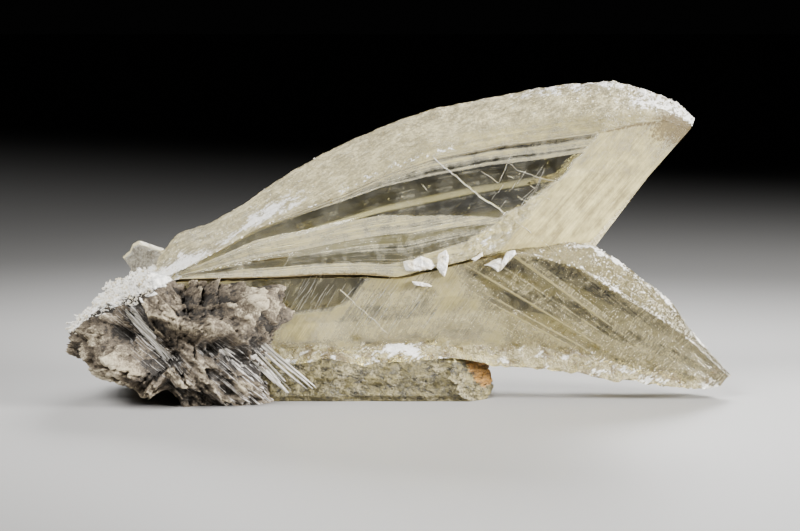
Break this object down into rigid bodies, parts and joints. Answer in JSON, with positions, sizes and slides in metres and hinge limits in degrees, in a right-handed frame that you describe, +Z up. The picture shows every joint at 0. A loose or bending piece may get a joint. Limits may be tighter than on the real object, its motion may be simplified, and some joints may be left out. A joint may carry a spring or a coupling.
{
  "type": "selenite crystal specimen",
  "caption": "Swallowtail twin of clear selenite blades on gypsum rock, with a foot blade under it and a side blade behind it.",
  "frame": {"origin": "middle of the box in X and Y, on the surface that the specimen rests on", "axes": "+X along the crystal towards its swallowtail, +Y from the front broad face to the back, +Z up"},
  "size_m": [0.1754, 0.0622, 0.0832],
  "materials": {
    "clear_selenite": "clear colourless to pale cream, glossy on cleavage faces, frosted on etched faces",
    "stained_selenite": "cloudy olive to orange, etched, with iron stain at its right end",
    "cloudy_selenite": "cloudy grey, satin, frosted edges",
    "gypsum_rock": "rough grey-brown gypsum rock with a white granular crust and satin splinters"
  },
  "bodies": {
    "root": {"selenite_twin": "clear_selenite", "foot_blade": "stained_selenite", "side_blade": "cloudy_selenite", "matrix_rock": "gypsum_rock"}
  },
  "joints": []
}
